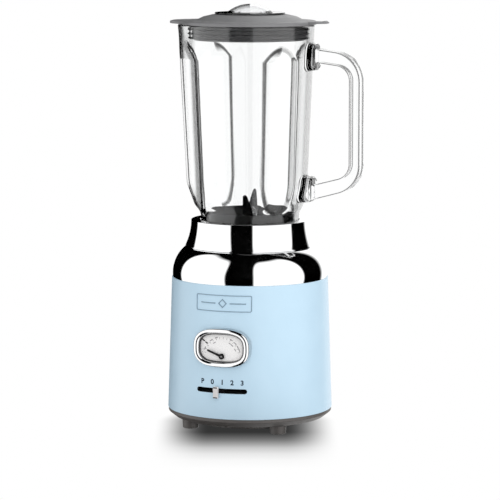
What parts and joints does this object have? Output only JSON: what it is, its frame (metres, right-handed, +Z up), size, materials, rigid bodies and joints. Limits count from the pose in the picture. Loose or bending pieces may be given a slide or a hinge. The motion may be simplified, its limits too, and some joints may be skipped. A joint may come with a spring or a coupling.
{
  "type": "countertop blender",
  "caption": "Retro countertop blender: tapered painted motor base with arc slider and round gauge, chrome shoulder, lift-off fluted glass jar with handle, grey lid and clear cap.",
  "frame": {"origin": "on the motor axis, on the floor plane that the rubber feet stand on", "axes": "+Z up along the motor axis, -Y towards the front with the controls, +X towards the jar handle"},
  "size_m": [0.1899, 0.163, 0.3973],
  "materials": {
    "painted_body": "satin pale blue paint",
    "chrome_trim": "bright chrome",
    "pan_plastic": "warm grey moulded plastic",
    "foot_rubber": "matt grey rubber",
    "dark_plastic": "black moulded plastic",
    "dial_card": "matt off-white dial",
    "needle_black": "matt black",
    "clear_plastic": "clear polished plastic",
    "jar_glass": "clear pressed glass",
    "lid_plastic": "mid grey satin plastic",
    "lid_rubber": "soft grey seal",
    "seal_silicone": "translucent white silicone",
    "knob_metal": "satin chrome",
    "badge_metal": "fine blue-grey metal line",
    "board_green": "green circuit board",
    "steel": "plain steel",
    "blade_steel": "ground stainless steel",
    "core_steel": "laminated steel",
    "copper": "enamelled copper wire",
    "bracket_alloy": "die-cast aluminium",
    "carbon": "graphite",
    "brass_parts": "plain brass",
    "fan_plastic": "cream moulded plastic",
    "damper_rubber": "black rubber"
  },
  "bodies": {
    "base": {"body_shell": "painted_body", "shoulder": "chrome_trim", "top_deck": "dark_plastic", "base_pan": "pan_plastic", "bottom_cover": "pan_plastic", "rubber_feet": "foot_rubber", "foot_screws": "steel", "cover_screws": "steel", "gauge_bezel": "chrome_trim", "gauge_dial": "dial_card", "gauge_lens": "clear_plastic", "gauge_movement": "dark_plastic", "slot_liner": "dark_plastic", "speed_switch": "dark_plastic", "control_board": "board_green", "badge_plate": "badge_metal", "cord_gland": "dark_plastic", "motor_stator": "core_steel", "field_coils": "copper", "upper_bracket": "bracket_alloy", "lower_bracket": "bracket_alloy", "upper_bearing": "steel", "lower_bearing": "steel", "motor_bolts": "steel", "motor_screws": "steel", "motor_dampers": "damper_rubber", "brush_holders": "brass_parts", "carbon_brushes": "carbon", "brush_springs": "steel"},
    "rotor": {"motor_shaft": "steel", "armature_core": "core_steel", "armature_windings": "copper", "commutator": "copper", "cooling_fan": "fan_plastic", "drive_dog": "dark_plastic"},
    "slider": {"slider_knob": "knob_metal"},
    "needle": {"gauge_needle": "needle_black"},
    "jar_foot": {"jar_collar": "chrome_trim", "blade_base": "dark_plastic", "blade_bush": "brass_parts", "shaft_seal": "damper_rubber"},
    "blades": {"blade_shaft": "steel", "upper_blade": "blade_steel", "middle_blade": "blade_steel", "lower_blade": "blade_steel", "blade_spacers": "steel", "blade_nut": "steel", "driven_dog": "dark_plastic"},
    "seal": {"jar_seal": "seal_silicone"},
    "jar": {"glass_jar": "jar_glass"},
    "lid": {"lid": "lid_plastic", "lid_seal": "lid_rubber"},
    "cap": {"measuring_cap": "clear_plastic"}
  },
  "joints": [
    {"name": "motor_spin", "type": "hinge", "parent": "base", "child": "rotor", "pos_m": [0, 0, 0.09], "axis": [0, 0, 1], "continuous": true},
    {"name": "blade_spin", "type": "hinge", "parent": "jar_foot", "child": "blades", "pos_m": [0, 0, 0.18], "axis": [0, 0, 1], "continuous": true},
    {"name": "speed_slide", "type": "hinge", "parent": "base", "child": "slider", "pos_m": [0, 0, 0.043], "axis": [0, 0, 1], "range_deg": [-11.5, 17.5]},
    {"name": "gauge_swing", "type": "hinge", "parent": "base", "child": "needle", "pos_m": [0, -0.077, 0.0754], "axis": [0, 1, 0], "range_deg": [0, 138], "stiffness_Nm_per_rad": 0.00002, "springref_deg": -57.3},
    {"name": "jar_lift", "type": "slide", "parent": "base", "child": "jar_foot", "axis": [0, 0, 1], "range_m": [0, 0.06]},
    {"name": "jar_turn", "type": "hinge", "parent": "seal", "child": "jar", "pos_m": [0, 0, 0.19], "axis": [0, 0, 1], "range_deg": [0, 360]},
    {"name": "jar_rise", "type": "slide", "parent": "jar_foot", "child": "seal", "axis": [0, 0, 1], "range_m": [0, 0.0051]},
    {"name": "lid_lift", "type": "slide", "parent": "jar", "child": "lid", "axis": [0, 0, 1], "range_m": [0, 0.06]},
    {"name": "cap_lift", "type": "slide", "parent": "lid", "child": "cap", "axis": [0, 0, 1], "range_m": [0, 0.06]}
  ],
  "couplings": [
    {"joint": "blade_spin", "follows": "motor_spin", "ratio": 1},
    {"joint": "jar_rise", "follows": "jar_turn", "m_per_rad": 0.00079577}
  ]
}
